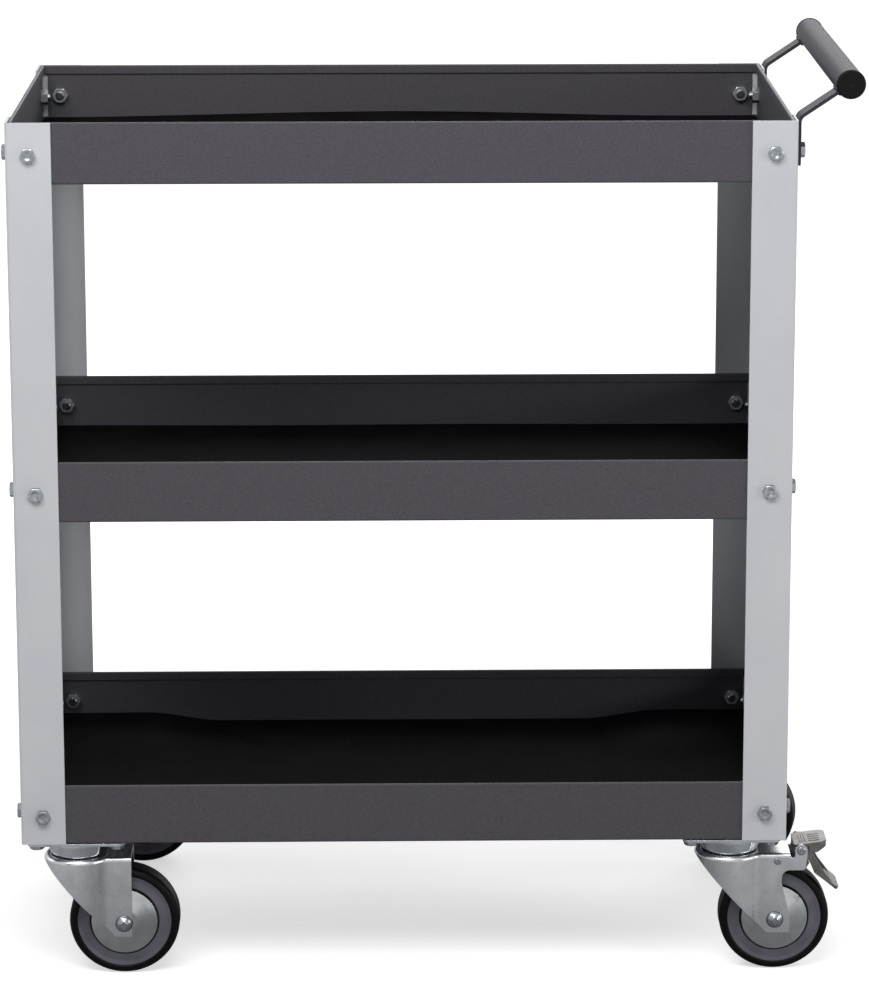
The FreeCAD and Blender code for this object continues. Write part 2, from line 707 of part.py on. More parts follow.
def make_pedal():
    """Two cheeks on a tube round the pin, with a release pedal above and a lock pedal below."""
    pin = V(trail + pin_back, 0, wheel_radius + pin_up)
    ends = (pin.x, -pedal_half_width, pin.z), (pin.x, pedal_half_width, pin.z)
    hub = rod(pedal_hub_radius, *ends)
    front, rear = over_tyre(*lock_front), over_tyre(*lock_rear)
    step = V(trail + release_front, 0, wheel_radius + release_up)

    def under_step(x):
        """Height inside the release pedal's sheet, where the cheeks run into it."""
        return step.z + (x - step.x) * math.tan(math.radians(release_tilt)) + pedal_sheet / 3

    cheek = [(pin.x - 4.5, pin.z - 2, 2), (pin.x - 4.5, under_step(pin.x - 4.5), 0),
             (pin.x + 17, under_step(pin.x + 17), 0), (pin.x + 10, pin.z - 2.5, 4),
             (front.x + 6.5, front.z + 4.0, 3), (rear.x, rear.z + 0.5, 0), (rear.x - 1.5, rear.z - 0.2, 0),
             (front.x, front.z, 0), (pin.x + 5, pin.z - 4.5, 4)]
    cheeks = []
    for side in (-1, 1):
        low, high = sorted((side * cheek_half_width, side * (cheek_half_width - cheek_sheet)))
        cheeks.append(slab_y(cheek, low, high))
    length = release_rear - release_front
    foot = slab_z([(0, -pedal_half_width, 3), (length, -pedal_half_width, 7), (length, pedal_half_width, 7),
                   (0, pedal_half_width, 3)], 0, pedal_sheet)
    low, high = pedal_sheet - 0.2, pedal_sheet + tread_rib
    ribs = [block((across, -11, low), (across + 1.2, 11, high)) for across in (5.5, 8.0, 10.5)]
    ribs += [block((14, along_y, low), (24, along_y + 1.4, high)) for along_y in (-11, -5.2, 0.6, 6.4)]
    release = fuse([foot] + ribs)
    release.Placement = FreeCAD.Placement(step, FreeCAD.Rotation(V(0, 1, 0), -release_tilt))
    back = step.x + length - 1.2
    skirt = [(pin.x + skirt_front, under_step(pin.x + skirt_front), 0), (back, under_step(back), 0),
             (back, pin.z + 3.5, 5), (pin.x + 15, pin.z - skirt_foot, 4),
             (pin.x + skirt_front, pin.z - skirt_foot, 2)]
    for side in (-1, 1):
        near, far = sorted((side * pedal_half_width, side * (cheek_half_width - cheek_sheet)))
        cheeks.append(slab_y(skirt, near, far))
    run = rear - front
    tilt = math.degrees(math.atan2(-run.z, run.x))
    tread = slab_z([(0, -lock_half_width, 2), (run.Length, -lock_half_width, 5),
                    (run.Length, lock_half_width, 5), (0, lock_half_width, 2)], 0, pedal_sheet)
    treads = [block((across, -12, low), (across + 1.6, 12, high)) for across in (7, 12, 17)]
    lock = fuse([tread] + treads)
    lock.Placement = FreeCAD.Placement(front, FreeCAD.Rotation(V(0, 1, 0), tilt))
    return fuse([hub, release, lock] + cheeks).cut(rod(pin_radius + running_gap, *ends))


def make_shoe():
    """Curved leaf over the tyre, hung on the rivet in the legs, with its tip turned up."""
    eye = V(trail + rivet_back, 0, wheel_radius + rivet_up)
    inner = wheel_radius + shoe_gap
    outer = inner + shoe_sheet
    start, end = math.radians(90.0), math.radians(shoe_tip_angle)

    def at(radius, angle):
        x, z = radius * math.cos(angle), radius * math.sin(angle)
        return V(trail + x, -shoe_half_width, wheel_radius + z)

    middle = (start + end) / 2
    tip, back = outer + shoe_tip_height, end + 0.035
    edges = [
        Part.Arc(at(inner, start), at(inner, middle), at(inner, end)).toShape(),
        Part.LineSegment(at(inner, end), at(tip, end)).toShape(),
        Part.LineSegment(at(tip, end), at(tip, back)).toShape(),
        Part.LineSegment(at(tip, back), at(outer, back)).toShape(),
        Part.Arc(at(outer, back), at(outer, middle), at(outer, start)).toShape(),
        Part.LineSegment(at(outer, start), at(inner, start)).toShape(),
    ]
    leaf = Part.Face(Part.Wire(edges)).extrude(V(0, 2 * shoe_half_width, 0))
    ends = (eye.x, -leg_inner + 0.6, eye.z), (eye.x, leg_inner - 0.6, eye.z)
    return fuse([leaf, rod(shoe_eye_radius, *ends)]).cut(rod(rivet_radius + running_gap, *ends))


def make_pins():
    """Headed pins through both legs: the pedal's and the shoe's."""
    pins = []
    for back, up, radius in ((pin_back, pin_up, pin_radius), (rivet_back, rivet_up, rivet_radius)):
        length = leg_half_width
        head = pin_head_radius if radius == pin_radius else pin_head_radius - 0.7
        half = [(radius, length, 0), (head, length, 0), (head, length + pin_head, 1.4)]
        corners = half + [(0, length + pin_head, 0), (0, -length - pin_head, 0)]
        corners += [(r, -y, c) for r, y, c in reversed(half)]
        pins.append(turned_y(corners).translated(V(trail + back, 0, wheel_radius + up)))
    return pins


# ---------------------------------------------------------------- the cart
def place(shape, corner):
    sx, sy = corner_signs[corner]
    moved = shape.copy()
    moved.rotate(V(0, 0, 0), V(0, 0, 1), caster_turn[corner])
    moved.translate(V(sx * caster_x, sy * caster_y, 0))
    return moved


def make_caster(corner, fork):
    """One swivel caster: every piece in its own node. What is fixed to the tray isn't turned."""
    sx, sy = corner_signs[corner]
    for name, shape in {"plate": make_plate(), "kingpin": make_kingpin()}.items():
        export(f"caster_{corner}_{name}", shape.translated(V(sx * caster_x, sy * caster_y, 0)))
    pieces = {"fork": fork, "axle_bolt": make_axle(), "axle_nut": make_axle_nut(), "sleeve": make_sleeve(),
              "core": make_core(), "tyre": make_tyre()}
    for name, shape in pieces.items():
        export(f"caster_{corner}_{name}", place(shape, corner))
    export(f"caster_{corner}_balls", [place(ball, corner) for ball in make_balls()])
    export(f"caster_{corner}_thread_guards", [place(guard, corner) for guard in make_guards()])


def main():
    for corner, (sx, sy) in corner_signs.items():
        export(f"post_{corner}", make_post(sx, sy))
    for level in tray_rims:
        export(f"tray_{level}", make_tray(level))
        export(f"mat_{level}", make_mat(level))
    export("handle_grip", make_grip())
    export("handle_bracket_front", make_bracket(-1))
    export("handle_bracket_rear", make_bracket(1))
    export("handle_end_caps", [make_end_cap(-1), make_end_cap(1)])
    make_frame_fasteners()
    plain, braked = make_fork(False), make_fork(True)
    for corner in corner_signs:
        make_caster(corner, braked if corner == braked_caster else plain)
    export("brake_pedal", place(make_pedal(), braked_caster))
    export("brake_shoe", place(make_shoe(), braked_caster))
    export("brake_pins", [place(pin, braked_caster) for pin in make_pins()])


main()
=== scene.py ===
"""Finishes, mats, small fittings, studio light and camera for the three-shelf tool cart.

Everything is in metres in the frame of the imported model: +X to the handle, +Z up,
the origin on the floor under the middle of the cart.
"""
import json
import math

import bmesh
import bpy
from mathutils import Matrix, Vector, noise


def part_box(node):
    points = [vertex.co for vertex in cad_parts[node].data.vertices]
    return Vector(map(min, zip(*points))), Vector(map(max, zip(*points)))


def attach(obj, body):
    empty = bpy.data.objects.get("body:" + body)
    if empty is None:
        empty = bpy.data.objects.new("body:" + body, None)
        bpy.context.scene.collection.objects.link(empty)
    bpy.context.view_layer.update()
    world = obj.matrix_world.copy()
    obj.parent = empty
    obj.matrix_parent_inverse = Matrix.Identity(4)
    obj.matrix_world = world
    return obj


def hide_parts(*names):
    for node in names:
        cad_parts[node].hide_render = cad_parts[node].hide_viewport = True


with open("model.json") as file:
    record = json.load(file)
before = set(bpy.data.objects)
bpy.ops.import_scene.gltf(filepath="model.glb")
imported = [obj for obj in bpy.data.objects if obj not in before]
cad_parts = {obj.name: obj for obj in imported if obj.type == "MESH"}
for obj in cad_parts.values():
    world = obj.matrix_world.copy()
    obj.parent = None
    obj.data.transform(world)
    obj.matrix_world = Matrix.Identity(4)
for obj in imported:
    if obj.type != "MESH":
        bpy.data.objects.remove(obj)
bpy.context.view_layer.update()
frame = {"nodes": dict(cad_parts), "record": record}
MM = 0.001


# ------------------------------------------------------------------ nodes and colours
def paint(code):
    """Linear colour of an sRGB hex value."""
    parts = [int(code[i:i + 2], 16) / 255 for i in (1, 3, 5)]
    return [p / 12.92 if p <= 0.04045 else ((p + 0.055) / 1.055) ** 2.4 for p in parts] + [1.0]


def add(tree, kind, links=None, **settings):
    """Add a node; settings are its own fields, links gives its sockets a value or another node's output."""
    node = tree.nodes.new("ShaderNode" + kind)
    for name, value in settings.items():
        setattr(node, name, value)
    for socket, source in (links or {}).items():
        if isinstance(source, bpy.types.NodeSocket):
            tree.links.new(source, node.inputs[socket])
        else:
            node.inputs[socket].default_value = source
    return node


def blank(name):
    """An empty material, its node tree, and the place on the surface in metres for patterns to follow."""
    material = bpy.data.materials.new(name)
    material.use_nodes = True
    tree = material.node_tree
    tree.nodes.clear()
    place = add(tree, "TexCoord").outputs["Object"]
    return material, tree, place


def finish(tree, **sockets):
    """Join a surface shader to the material's output."""
    names = {name.replace("_", " "): value for name, value in sockets.items()}
    shader = add(tree, "BsdfPrincipled", names)
    add(tree, "OutputMaterial", {"Surface": shader.outputs["BSDF"]})


def ramp(tree, amount, stops):
    """Colour ramp through (place, colour) stops."""
    node = add(tree, "ValToRGB", {"Fac": amount})
    colours = node.color_ramp.elements
    while len(colours) < len(stops):
        colours.new(1.0)
    for element, (place, colour) in zip(colours, stops):
        element.position = place
        element.color = colour
    return node.outputs["Color"]


def grains(size_mm):
    """Texture scale that gives spots of this size."""
    return 1000.0 / size_mm


wave_turn = 20      # radians that a wave texture turns per metre at a scale of 1
bevel_rays = 4      # rays that round an edge in a material


# ------------------------------------------------------------------ finishes
def smooth_powder_coat():
    """Polyester powder coat, light grey, smooth satin: even colour, a soft sheen and a faint orange peel.
    The peel's real 2 mm waves would vanish at this distance, so they are drawn at 5 mm."""
    material, tree, place = blank("smooth_powder_coat")
    cloud = add(tree, "TexNoise", {"Vector": place, "Scale": grains(90), "Detail": 3.0})
    colour = ramp(tree, cloud.outputs["Fac"], [(0.3, paint("#C4C6CB")), (0.7, paint("#CBCDD1"))])
    peel = add(tree, "TexNoise", {"Vector": place, "Scale": grains(5), "Detail": 2.0})
    edge = add(tree, "Bevel", {"Radius": 0.7 * MM}, samples=bevel_rays)
    bump = add(tree, "Bump", {"Height": peel.outputs["Fac"], "Strength": 0.25, "Distance": 0.06 * MM,
                              "Normal": edge.outputs["Normal"]})
    finish(tree, Base_Color=colour, Roughness=0.45, IOR=1.5, Specular_IOR_Level=0.35,
           Normal=bump.outputs["Normal"])
    return material


def textured_powder_coat():
    """Fine-texture powder coat, charcoal: tiny lumps break the light up, so the sheen is wide and soft.
    The lumps are 0.4 mm across; they are drawn at 1.8 mm to show as the coat's grain."""
    material, tree, place = blank("textured_powder_coat")
    lumps = add(tree, "TexVoronoi", {"Vector": place, "Scale": grains(1.8)}, feature="SMOOTH_F1")
    cloud = add(tree, "TexNoise", {"Vector": place, "Scale": grains(1.4), "Detail": 4.0, "Roughness": 0.7})
    colour = ramp(tree, cloud.outputs["Fac"], [(0.3, paint("#403E44")), (0.7, paint("#525056"))])
    edge = add(tree, "Bevel", {"Radius": 0.6 * MM}, samples=bevel_rays)
    bump = add(tree, "Bump", {"Height": lumps.outputs["Distance"], "Strength": 0.5, "Distance": 0.12 * MM,
                              "Normal": edge.outputs["Normal"]})
    rough = add(tree, "MapRange", {"Value": cloud.outputs["Fac"], "To Min": 0.46, "To Max": 0.6})
    finish(tree, Base_Color=colour, Roughness=rough.outputs["Result"], IOR=1.5, Specular_IOR_Level=0.28,
           Normal=bump.outputs["Normal"])
    return material


def handle_powder_coat():
    """The same charcoal powder coat over tube and bars, a tone warmer and flatter: it takes little shine."""
    material, tree, place = blank("handle_powder_coat")
    cloud = add(tree, "TexNoise", {"Vector": place, "Scale": grains(1.6), "Detail": 4.0, "Roughness": 0.7})
    colour = ramp(tree, cloud.outputs["Fac"], [(0.3, paint("#312E36")), (0.7, paint("#3E3B44"))])
    edge = add(tree, "Bevel", {"Radius": 0.5 * MM}, samples=bevel_rays)
    bump = add(tree, "Bump", {"Height": cloud.outputs["Fac"], "Strength": 0.4, "Distance": 0.1 * MM,
                              "Normal": edge.outputs["Normal"]})
    finish(tree, Base_Color=colour, Roughness=0.55, IOR=1.5, Specular_IOR_Level=0.095,
           Normal=bump.outputs["Normal"])
    return material


def moulded_cap():
    """Black low-density polyethylene plug, moulded with a fine spark texture: dull, its edges softly lit."""
    material, tree, place = blank("moulded_cap")
    spark = add(tree, "TexNoise", {"Vector": place, "Scale": grains(0.9), "Detail": 3.0})
    colour = ramp(tree, spark.outputs["Fac"], [(0.3, paint("#060607")), (0.7, paint("#0C0C0E"))])
    edge = add(tree, "Bevel", {"Radius": 0.6 * MM}, samples=bevel_rays)
    bump = add(tree, "Bump", {"Height": spark.outputs["Fac"], "Strength": 0.4, "Distance": 0.08 * MM,
                              "Normal": edge.outputs["Normal"]})
    finish(tree, Base_Color=colour, Roughness=0.5, IOR=1.5, Specular_IOR_Level=0.12,
           Normal=bump.outputs["Normal"])
    return material


def mat_rubber():
    """Calendered black rubber sheet with a fine cloth-like emboss: almost no shine.
    The emboss has a 1 mm pitch; it is drawn at 2.2 mm so that it shows."""
    material, tree, place = blank("mat_rubber")
    bands = grains(2.2) * 2 * math.pi / wave_turn
    across, along = (add(tree, "TexWave", {"Vector": place, "Scale": bands, "Distortion": 0.6,
                                           "Detail": 1.0, "Detail Scale": 3.0}, bands_direction=way)
                     for way in "XY")
    emboss = add(tree, "Math", {0: across.outputs["Fac"], 1: along.outputs["Fac"]}, operation="MULTIPLY")
    dust = add(tree, "TexNoise", {"Vector": place, "Scale": grains(40), "Detail": 6.0, "Roughness": 0.65})
    colour = ramp(tree, dust.outputs["Fac"], [(0.35, paint("#0C0C0D")), (0.75, paint("#171718"))])
    bump = add(tree, "Bump", {"Height": emboss.outputs["Value"], "Strength": 0.5, "Distance": 0.2 * MM})
    rough = add(tree, "MapRange", {"Value": dust.outputs["Fac"], "To Min": 0.7, "To Max": 0.9})
    finish(tree, Base_Color=colour, Roughness=rough.outputs["Result"], IOR=1.5, Specular_IOR_Level=0.01,
           Normal=bump.outputs["Normal"])
    return material


streak_stretch = 0.12   # the streaks in rolled sheet are about 8 times as long as wide


def zinc_plate(name, dark, light, rough_low, rough_high, edge_mm, spangle):
    """Electroplated zinc, clear passivated: a bright grey metal with a faint blue tint, in soft clouds as
    large as the spangle in mm. Rolled sheet keeps fine streaks under the plating, drawn 1.2 mm wide."""
    material, tree, place = blank(name)
    film = add(tree, "TexNoise", {"Vector": place, "Scale": grains(spangle), "Detail": 4.0, "Roughness": 0.6,
                                  "Distortion": 0.6})
    colour = ramp(tree, film.outputs["Fac"], [(0.25, paint(dark)), (0.7, paint(light))])
    streak = add(tree, "Mapping", {"Vector": place, "Scale": (1.0, 1.0, streak_stretch)})
    brushed = add(tree, "TexNoise", {"Vector": streak.outputs["Vector"], "Scale": grains(1.2), "Detail": 3.0})
    rough = add(tree, "MapRange", {"Value": brushed.outputs["Fac"], "To Min": rough_low,
                                   "To Max": rough_high})
    edge = add(tree, "Bevel", {"Radius": edge_mm * MM}, samples=bevel_rays)
    bump = add(tree, "Bump", {"Height": brushed.outputs["Fac"], "Strength": 0.2, "Distance": 0.03 * MM,
                              "Normal": edge.outputs["Normal"]})
    finish(tree, Base_Color=colour, Metallic=1.0, Roughness=rough.outputs["Result"],
           Normal=bump.outputs["Normal"])
    return material


def bearing_steel():
    """Ground and polished chrome steel: a dark mirror."""
    material, tree, place = blank("bearing_steel")
    oil = add(tree, "TexNoise", {"Vector": place, "Scale": grains(3), "Detail": 2.0})
    colour = ramp(tree, oil.outputs["Fac"], [(0.3, paint("#9C9C9E")), (0.7, paint("#B8B8BA"))])
    rough = add(tree, "MapRange", {"Value": oil.outputs["Fac"], "To Min": 0.08, "To Max": 0.2})
    finish(tree, Base_Color=colour, Metallic=1.0, Roughness=rough.outputs["Result"])
    return material


def tyre_rubber():
    """Moulded black rubber tread: deep black, a soft shine on the shoulders and a trace of floor dust."""
    material, tree, place = blank("tyre_rubber")
    dust = add(tree, "TexNoise", {"Vector": place, "Scale": grains(9), "Detail": 5.0, "Roughness": 0.7})
    colour = ramp(tree, dust.outputs["Fac"], [(0.4, paint("#070708")), (0.75, paint("#101011"))])
    grain = add(tree, "TexNoise", {"Vector": place, "Scale": grains(0.8), "Detail": 3.0})
    bump = add(tree, "Bump", {"Height": grain.outputs["Fac"], "Strength": 0.3, "Distance": 0.06 * MM})
    rough = add(tree, "MapRange", {"Value": dust.outputs["Fac"], "To Min": 0.38, "To Max": 0.55})
    finish(tree, Base_Color=colour, Roughness=rough.outputs["Result"], IOR=1.52, Specular_IOR_Level=0.09,
           Normal=bump.outputs["Normal"])
    return material


def moulded_core():
    """Injection-moulded polypropylene, violet grey, with the tool's fine matt grain."""
    material, tree, place = blank("moulded_core")
    grain = add(tree, "TexNoise", {"Vector": place, "Scale": grains(1.1), "Detail": 3.0})
    cloud = add(tree, "TexNoise", {"Vector": place, "Scale": grains(18), "Detail": 2.0})
    colour = ramp(tree, cloud.outputs["Fac"], [(0.3, paint("#55535C")), (0.7, paint("#615F69"))])
    edge = add(tree, "Bevel", {"Radius": 0.5 * MM}, samples=bevel_rays)
    bump = add(tree, "Bump", {"Height": grain.outputs["Fac"], "Strength": 0.35, "Distance": 0.05 * MM,
                              "Normal": edge.outputs["Normal"]})
    finish(tree, Base_Color=colour, Roughness=0.46, IOR=1.49, Specular_IOR_Level=0.3,
           Normal=bump.outputs["Normal"])
    return material


# The zinc rows give the film's dark and light tones, the roughness range, the edge radius and the spangle.
finishes = {
    "post_paint": smooth_powder_coat(),
    "tray_paint": textured_powder_coat(),
    "handle_paint": handle_powder_coat(),
    "cap_plastic": moulded_cap(),
    "mat_rubber": mat_rubber(),
    "zinc_fastener": zinc_plate("zinc_fastener", "#7E8389", "#9DA1A5", 0.2, 0.34, 0.3, 3.0),
    "zinc_nut": zinc_plate("zinc_nut", "#A6ABB0", "#C4C8CB", 0.3, 0.46, 0.3, 3.0),
    "zinc_bright": zinc_plate("zinc_bright", "#A6ABB1", "#C4C9CD", 0.05, 0.12, 0.4, 14.0),
    "zinc_satin": zinc_plate("zinc_satin", "#B0B3B6", "#C6C8CB", 0.22, 0.34, 0.5, 22.0),
    # the guards' darker tone is painted shade against the fork legs
    "zinc_guard_with_painted_shade": zinc_plate("zinc_guard_with_painted_shade", "#9FA3A5", "#B6B9BA", 0.14, 0.24, 0.5, 22.0),
    "zinc_pedal": zinc_plate("zinc_pedal", "#62615F", "#787673", 0.26, 0.4, 0.5, 12.0),
    "ball_steel": bearing_steel(),
    "tyre_rubber": tyre_rubber(),
    "core_plastic": moulded_core(),
}
# The thread guards are smoother than the forks and a tone darker as painted shade that sets the fork legs off
# against them, and the nuts are tumbled dull.
finer_finish = {"thread_guards": "zinc_guard_with_painted_shade", "hex_nuts": "zinc_nut"}
for part in frame["record"]["subparts"]:
    node = part["node"]
    finer = [finer_finish[ending] for ending in finer_finish if node.endswith(ending)]
    skins = frame["nodes"][node].data.materials
    skins.clear()
    skins.append(finishes[finer[0] if finer else part["material_slot"]])


# ------------------------------------------------------------------ pieces
def piece(name, vertices, faces, slot, body):
    """A mesh in the cart's frame, with the finish of a material slot, riding on a body."""
    mesh = bpy.data.meshes.new(name)
    mesh.from_pydata(vertices, [], faces)
    made = bpy.data.objects.new(name, mesh)
    bpy.context.scene.collection.objects.link(made)
    work = bmesh.new()
    work.from_mesh(mesh)
    bmesh.ops.recalc_face_normals(work, faces=work.faces)
    work.to_mesh(mesh)
    work.free()
    for face in mesh.polygons:
        face.use_smooth = True
    mesh.materials.append(finishes[slot])
    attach(made, body)
    return made


def smoothstep(value, start, end):
    """0 before start, 1 after end, and a smooth rise between."""
    share = min(1.0, max(0.0, (value - start) / (end - start)))
    return share * share * (3 - 2 * share)


def top_mat_lift(x, y):
    """The top mat's rear edge stands off the floor in one long low wave."""
    swell = math.cos(math.pi * min(1.0, abs(x - top_wave_middle) / top_wave_half)) * 0.5 + 0.5
    rear = smoothstep(y, top_wave_start, rear_lift_end)
    return MM * (top_wave_mm * swell * rear + top_lift_mm * rear)


def middle_mat_lift(x, y):
    """The middle mat's rear edge lifts by under a millimetre, in waves about 370 mm long."""
    rear = smoothstep(y, middle_wave_start, rear_lift_end)
    swell = 0.5 + 0.5 * math.sin(x * middle_wave_turn + middle_wave_phase)
    return MM * (middle_wave_mm * rear * swell + middle_lift_mm * rear)


def bottom_mat_lift(x, y):
    """The bottom mat lies over the caster nuts in the corners and sags between them."""
    low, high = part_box("mat_bottom")
    end = min(x - low.x, high.x - x)
    ramp_up = 1 - smoothstep(end, nut_reach, nut_reach + mat_fall)
    sag = 1 - bottom_sag * (1 - smoothstep(abs(y), *sag_reach))
    return (high.z - low.z - mat_sheet) * ramp_up * sag


def mat(level, lift):
    """Loose rubber sheet on a tray's floor, its edges rounded and its corners cut to a small radius."""
    low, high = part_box("mat_" + level)
    columns, rows = mat_grid
    corner = mat_corner
    vertices = []
    for side in (1, 0):
        for j in range(rows + 1):
            for i in range(columns + 1):
                x = low.x + (high.x - low.x) * i / columns
                y = low.y + (high.y - low.y) * j / rows
                in_x = max(0.0, max(low.x + corner - x, x - high.x + corner))
                in_y = max(0.0, max(low.y + corner - y, y - high.y + corner))
                over = math.hypot(in_x, in_y)
                if over > corner:
                    x += math.copysign(in_x * (1 - corner / over), low.x + high.x - 2 * x)
                    y += math.copysign(in_y * (1 - corner / over), low.y + high.y - 2 * y)
                spot = Vector((x * ripples_per_m, y * ripples_per_m, low.z * ripple_change))
                ripple = mat_ripple * (1 + noise.noise(spot))
                vertices.append((x, y, low.z + side * mat_sheet + lift(x, y) + ripple))
    count = (columns + 1) * (rows + 1)
    faces = []
    for j in range(rows):
        for i in range(columns):
            a = j * (columns + 1) + i
            b, c, d = a + 1, a + columns + 2, a + columns + 1
            faces += [(a, b, c, d), (a + count, d + count, c + count, b + count)]
    rim = ([(i, 0) for i in range(columns)] + [(columns, j) for j in range(rows)]
           + [(i, rows) for i in range(columns, 0, -1)] + [(0, j) for j in range(rows, 0, -1)])
    ring = [j * (columns + 1) + i for i, j in rim]
    for a, b in zip(ring, ring[1:] + ring[:1]):
        faces.append((a, a + count, b + count, b))
    made = piece("rubber_mat_" + level, vertices, faces, "mat_rubber", "frame")
    round_over = made.modifiers.new("rounded_edge", "BEVEL")
    round_over.width = mat_edge_round
    round_over.segments = mat_edge_steps
    round_over.limit_method = "ANGLE"
    round_over.angle_limit = mat_edge_angle
    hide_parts("mat_" + level)


mat_grid = (132, 66)
mat_sheet = 3 * MM
mat_corner = 6 * MM
mat_edge_round = 0.7 * MM
mat_edge_steps = 3
mat_edge_angle = math.radians(50)   # the fold at its edges is sharper than this, a wave never is
mat_ripple = 0.35 * MM          # slow unevenness of the sheet
ripples_per_m = 9
ripple_change = 37              # per metre of height, so that no two mats are uneven alike
top_wave_middle = -0.05         # the top mat's wave, in metres along and across the tray
top_wave_half = 0.3
top_wave_start = 0.06
rear_lift_end = 0.17
top_wave_mm = 4.8
top_lift_mm = 0.5
middle_wave_start = 0.1
middle_wave_turn = 17           # radians per metre
middle_wave_phase = 1
middle_wave_mm = 0.9
middle_lift_mm = 0.3
nut_reach = 88 * MM             # the caster nuts reach this far in from the bottom mat's ends
mat_fall = 75 * MM              # and the mat comes down to the tray over this length
bottom_sag = 0.42               # share of its lift that it loses between the front and rear nuts
sag_reach = (0.02, 0.1)         # from the middle line outwards
mat("top", top_mat_lift)
mat("middle", middle_mat_lift)
mat("bottom", bottom_mat_lift)


def swept(path, radii, sides=12):
    """Vertices and faces of a closed tube along a path, with a radius for each point."""
    vertices, faces = [], []
    up = Vector((0, 0, 1))      # any direction off the path, carried along it so that the tube doesn't twist
    for n, (point, radius) in enumerate(zip(path, radii)):
        ahead = path[min(n + 1, len(path) - 1)] - path[max(n - 1, 0)]
        ahead.normalize()
        if abs(ahead.dot(up)) > 0.95:
            up = Vector((1, 0, 0))
        side = ahead.cross(up).normalized()
        up = side.cross(ahead).normalized()
        for k in range(sides):
            turn = 2 * math.pi * k / sides
            vertices.append(point + radius * (math.cos(turn) * side + math.sin(turn) * up))
    for n in range(len(path) - 1):
        for k in range(sides):
            a, b = n * sides + k, n * sides + (k + 1) % sides
            faces.append((a, b, b + sides, a + sides))
    faces.append(tuple(range(sides)))
    faces.append(tuple((len(path) - 1) * sides + k for k in range(sides)))
    return vertices, faces


def weld_beads(end):
    """Two rippled beads across a handle bar, above and below it, where it meets the grip."""
    low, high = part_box("handle_bracket_" + end)
    for side, name in ((1, "upper"), (-1, "lower")):
        path, radii = [], []
        for n in range(bead_steps + 1):
            share = n / bead_steps
            wander = bead_wander * noise.noise(Vector((share * bead_bends, side, 5.0)))
            across = low.y + (high.y - low.y) * share
            path.append(bead_joint + side * off_bar + Vector((wander, across, wander)))
            taper = min(1.0, bead_end + bead_growth * min(share, 1 - share))
            swell = 1 + bead_swell * math.sin(share * math.pi * 2 * bead_ripples)
            radii.append(bead_radius * taper * swell)
        piece(f"weld_bead_{end}_{name}", *swept(path, radii), "handle_paint", "frame")


def return_spring():
    """Torsion spring of the brake between the pedal's cheeks: close turns and two straight legs."""
    count = spring_turns * spring_steps
    path = [spring_centre + Vector(spring_front_leg)]
    for n in range(count + 1):
        turn = 2 * math.pi * n / spring_steps + math.pi / 2
        path.append(spring_centre + Vector((spring_radius * math.cos(turn), spring_half * (2 * n / count - 1),
                                            spring_radius * math.sin(turn))))
    path.append(spring_centre + Vector(spring_rear_leg))
    wire = swept(path, [spring_wire] * len(path), spring_sides)
    piece("brake_return_spring", *wire, "zinc_fastener", "swivel_front_right")


bead_joint = Vector((0.3531, 0, 0.81))              # where the bars' middle plane meets the grip
off_bar = Vector((-0.556, 0, 0.831)) * 2.4 * MM     # from there to a bead, square to the bar
bead_radius = 1.5 * MM
bead_steps = 48
bead_wander = 0.15 * MM
bead_bends = 6          # steps of noise along a bead
bead_end = 0.45         # share of its radius at the bead's two ends
bead_growth = 6         # the gain per bead length, so that it is full a tenth of the way in
bead_swell = 0.1        # each ripple stands out by this share
bead_ripples = 9
spring_centre = Vector((0.3383, -0.152, 0.105))
spring_radius = 2.7 * MM
spring_wire = 0.55 * MM
spring_half = 9 * MM    # half the length of the turns
spring_turns = 8
spring_steps = 20       # points in a turn
spring_sides = 8
spring_front_leg = (-spring_radius - 4 * MM, -spring_half, 5.5 * MM)
spring_rear_leg = (-6 * MM, spring_half, spring_radius - 1 * MM)
weld_beads("front")
weld_beads("rear")
return_spring()


# ------------------------------------------------------------------ studio
def sheet(name, material, corners):
    """A flat four-cornered piece of the studio."""
    mesh = bpy.data.meshes.new(name)
    mesh.from_pydata(corners, [], [(0, 1, 2, 3)])
    mesh.materials.append(material)
    made = bpy.data.objects.new(name, mesh)
    bpy.context.scene.collection.objects.link(made)
    return made


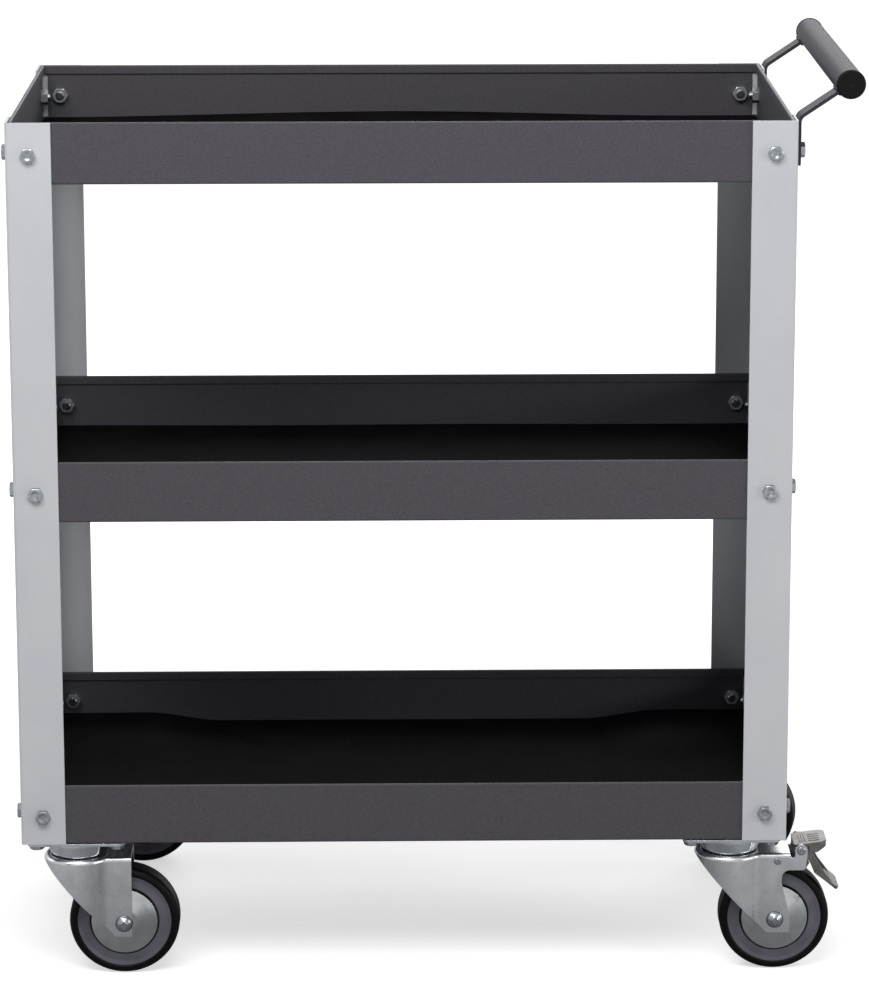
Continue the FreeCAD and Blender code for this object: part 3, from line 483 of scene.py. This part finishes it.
def floor_and_world():
    """Pale floor and sky: white to the camera and bright in reflections, while the floor keeps the cart's
    shadow. Metal shows the floor in painted shade, a darker grey than the sky and darkest near the cart,
    which gives it its bands."""
    material, tree, place = blank("studio_floor")
    rays = add(tree, "LightPath")
    seen = add(tree, "Math", {0: rays.outputs["Is Camera Ray"], 1: rays.outputs["Is Transmission Ray"]},
               operation="MAXIMUM")
    far = add(tree, "VectorMath", {0: place}, operation="LENGTH")
    # painted shade: reflections see the floor near the cart with less glow, as if in the cart's shadow
    rise, shaded_rise_in_metal = (
        add(tree, "MapRange", {"Value": far.outputs["Value"], "From Min": near, "From Max": away,
                               "To Min": under, "To Max": 1.0})
        for near, away, under in (floor_lift, metal_lift_as_painted_shade))
    lift = add(tree, "Math", {0: seen.outputs[0], 1: rise.outputs["Result"]}, operation="MULTIPLY")
    glossy = add(tree, "Math", {0: rays.outputs["Is Glossy Ray"], 1: shaded_rise_in_metal.outputs["Result"]},
                 operation="MULTIPLY")
    lift = add(tree, "Math", {0: lift.outputs[0], 1: glossy.outputs[0]}, operation="MAXIMUM")
    # painted shade: the floor's colour is a darker grey for reflections only
    floor_tone_with_painted_shade = ramp(tree, rays.outputs["Is Glossy Ray"], [(0.0, paint("#E6E6E8")), (1.0, paint("#9A9A9C"))])
    matt = add(tree, "BsdfDiffuse", {"Color": floor_tone_with_painted_shade})
    glow = add(tree, "Emission", {"Color": paint("#FFFFFF"), "Strength": lift.outputs[0]})
    both = add(tree, "AddShader", {0: matt.outputs[0], 1: glow.outputs[0]})
    add(tree, "OutputMaterial", {"Surface": both.outputs[0]})
    reach = floor_half
    floor = sheet("studio_floor", material, [(-reach, -reach, 0), (reach, -reach, 0), (reach, reach, 0),
                                             (-reach, reach, 0)])
    floor.location.z = -floor_drop

    world = bpy.data.worlds.new("studio")
    world.use_nodes = True
    tree = world.node_tree
    tree.nodes.clear()
    rays = add(tree, "LightPath")
    seen = add(tree, "Math", {0: rays.outputs["Is Camera Ray"], 1: rays.outputs["Is Glossy Ray"]},
               operation="MAXIMUM")
    seen = add(tree, "Math", {0: seen.outputs[0], 1: rays.outputs["Is Transmission Ray"]},
               operation="MAXIMUM")
    strength = add(tree, "MapRange", {"Value": seen.outputs[0], "To Min": sky_level, "To Max": 1.0})
    sky = add(tree, "Background", {"Color": paint("#FFFFFF"), "Strength": strength.outputs["Result"]})
    add(tree, "OutputWorld", {"Surface": sky.outputs[0]})
    bpy.context.scene.world = world


def softbox(name, place, aim, width, height, power):
    """A white softbox: an area lamp turned towards a point of the cart, in metres and watts."""
    light = bpy.data.lights.new(name, "AREA")
    light.shape = "RECTANGLE"
    light.size, light.size_y = width, height
    light.energy = power
    made = bpy.data.objects.new(name, light)
    bpy.context.scene.collection.objects.link(made)
    made.location = place
    made.rotation_mode = "QUATERNION"
    made.rotation_quaternion = (Vector(aim) - Vector(place)).to_track_quat("-Z", "Y")


def black_card(name, place, width, height):
    """A tall black card in front of the cart that only reflections see: it draws dark streaks in the zinc."""
    material, tree, _ = blank(name)
    add(tree, "OutputMaterial", {"Surface": add(tree, "BsdfDiffuse", {"Color": paint("#050505")}).outputs[0]})
    half, tall = width / 2, height / 2
    card = sheet(name, material, [(-half, 0, -tall), (half, 0, -tall), (half, 0, tall), (-half, 0, tall)])
    card.location = place
    card.rotation_euler.z = math.atan2(-place[0], place[1])
    card.visible_camera = card.visible_diffuse = card.visible_shadow = False


def camera(place, pitch, turn, lens, shift):
    """Camera, level from side to side: tilted down by pitch and turned left by turn, both in degrees."""
    data = bpy.data.cameras.new("camera")
    data.lens = lens
    data.sensor_width = 36
    data.shift_x, data.shift_y = shift
    data.clip_end = 100
    made = bpy.data.objects.new("camera", data)
    bpy.context.scene.collection.objects.link(made)
    made.location = place
    made.rotation_euler = (math.radians(90 - pitch), 0, math.radians(turn))
    bpy.context.scene.camera = made


floor_half = 9.0
floor_drop = 0.2 * MM           # keeps the floor's face off the wheels' lowest points
floor_lift = (0.5, 1.8, 0.6)    # glow rises between these distances from the cart's middle, from this level
metal_lift_as_painted_shade = (0.35, 1.6, 0.08)  # the same for the floor as metal reflects it: low near the cart, as painted shade
sky_level = 0.11                # light that the sky gives to the cart
floor_and_world()
softbox("key", place=(-0.4, -1.4, 1.95), aim=(0, 0, 0.5), width=1.8, height=0.9, power=33.5)
softbox("fill", place=(2.6, -1.3, 0.95), aim=(0, 0, 0.6), width=1.4, height=0.5, power=19)
softbox("back", place=(0.6, 2.4, 1.9), aim=(0, 0, 0.45), width=2.2, height=1.2, power=30)
softbox("left", place=(-2.7, 0.6, 1.2), aim=(0, 0, 0.45), width=1.2, height=1.8, power=8)
softbox("right", place=(2.7, 0.7, 1.3), aim=(0, 0, 0.45), width=1.2, height=1.8, power=10)
black_card("black_card_left", place=(-1.5, -2.4, 0.9), width=0.5, height=1.8)
black_card("black_card_right", place=(1.7, -2.2, 0.9), width=0.45, height=1.8)
camera(place=(-0.0401, -3.7, 1.32), pitch=12.527, turn=-1.095, lens=147.18, shift=(-0.03, -0.1))
bpy.context.scene.view_settings.view_transform = "Standard"
